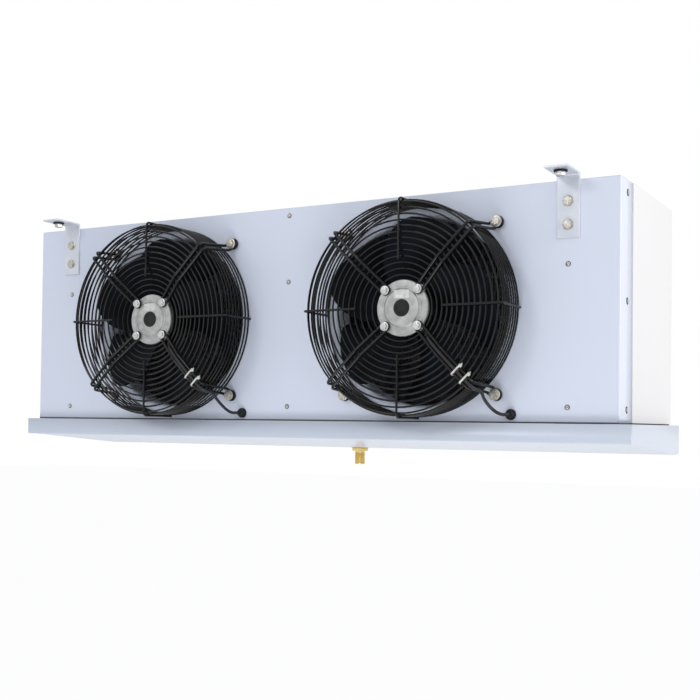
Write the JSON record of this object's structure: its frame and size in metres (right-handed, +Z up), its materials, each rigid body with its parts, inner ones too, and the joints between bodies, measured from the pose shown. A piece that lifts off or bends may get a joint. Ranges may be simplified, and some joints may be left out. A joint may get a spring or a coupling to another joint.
{
  "type": "walk-in unit cooler",
  "caption": "Ceiling-hung walk-in unit cooler: long sheet casing with wire-guarded axial fans in front, finned coil behind and a sloped drip tray with a drain below.",
  "frame": {"origin": "in the ceiling plane, midway between the four hanger holes", "axes": "+X along the casing to the right seen from the fans, -Y the way the fans blow, +Z up"},
  "size_m": [1.606, 0.6116, 0.615],
  "materials": {
    "panel_paint": "white powder coat on galvanised sheet",
    "tray_paint": "white powder coat",
    "galvanised": "galvanised sheet",
    "hanger_zinc": "bright zinc plate",
    "fins": "plain aluminium fins",
    "copper": "drawn copper tube",
    "brass": "turned brass",
    "guard_wire": "gloss black coated wire",
    "blade_black": "satin black coated sheet",
    "rotor_black": "matt black coated steel",
    "diecast": "die-cast aluminium, satin",
    "cap_black": "black plug",
    "rubber": "black rubber",
    "screw_zinc": "zinc-plated steel",
    "lead_sheath": "black cable sheath",
    "tie_white": "white nylon",
    "box_grey": "light grey plastic"
  },
  "bodies": {
    "casing": {"front_panel": "panel_paint", "top_panel": "panel_paint", "centre_divider": "galvanised", "fin_pack": "fins", "suction_header": "copper", "liquid_distributor": "brass", "capillary_tubes": "copper", "terminal_box": "box_grey", "drip_tray": "tray_paint", "drain_fitting": "brass", "drain_locknut": "brass", "hanger_bolts": "screw_zinc", "hanger_washers": "rubber", "hanger_nuts": "screw_zinc", "cover_screws": "screw_zinc", "end_cover_left": "panel_paint", "end_cover_right": "panel_paint", "end_plate_left": "galvanised", "end_plate_right": "galvanised", "return_bends_left": "copper", "return_bends_right": "copper", "guard_rings_left": "guard_wire", "guard_rings_right": "guard_wire", "guard_arms_left": "guard_wire", "guard_arms_right": "guard_wire", "guard_stays_left": "guard_wire", "guard_stays_right": "guard_wire", "foot_washers_left": "rubber", "foot_washers_right": "rubber", "foot_bolts_left": "screw_zinc", "foot_bolts_right": "screw_zinc", "motor_bolts_left": "screw_zinc", "motor_bolts_right": "screw_zinc", "motor_stator_left": "diecast", "motor_stator_right": "diecast", "motor_cap_left": "cap_black", "motor_cap_right": "cap_black", "fan_lead_left": "lead_sheath", "fan_lead_right": "lead_sheath", "lead_grommet_left": "rubber", "lead_grommet_right": "rubber", "lead_ties_left": "tie_white", "lead_ties_right": "tie_white", "hanger_front_left": "hanger_zinc", "hanger_front_right": "hanger_zinc", "hanger_rear_left": "hanger_zinc", "hanger_rear_right": "hanger_zinc"},
    "fan_left": {"rotor_left": "rotor_black", "fan_blades_left": "blade_black"},
    "fan_right": {"rotor_right": "rotor_black", "fan_blades_right": "blade_black"}
  },
  "joints": [
    {"name": "fan_left_spin", "type": "hinge", "parent": "casing", "child": "fan_left", "pos_m": [-0.336, -0.2075, -0.26782], "axis": [0, -1, 0], "continuous": true},
    {"name": "fan_right_spin", "type": "hinge", "parent": "casing", "child": "fan_right", "pos_m": [0.336, -0.2075, -0.26782], "axis": [0, -1, 0], "continuous": true}
  ]
}
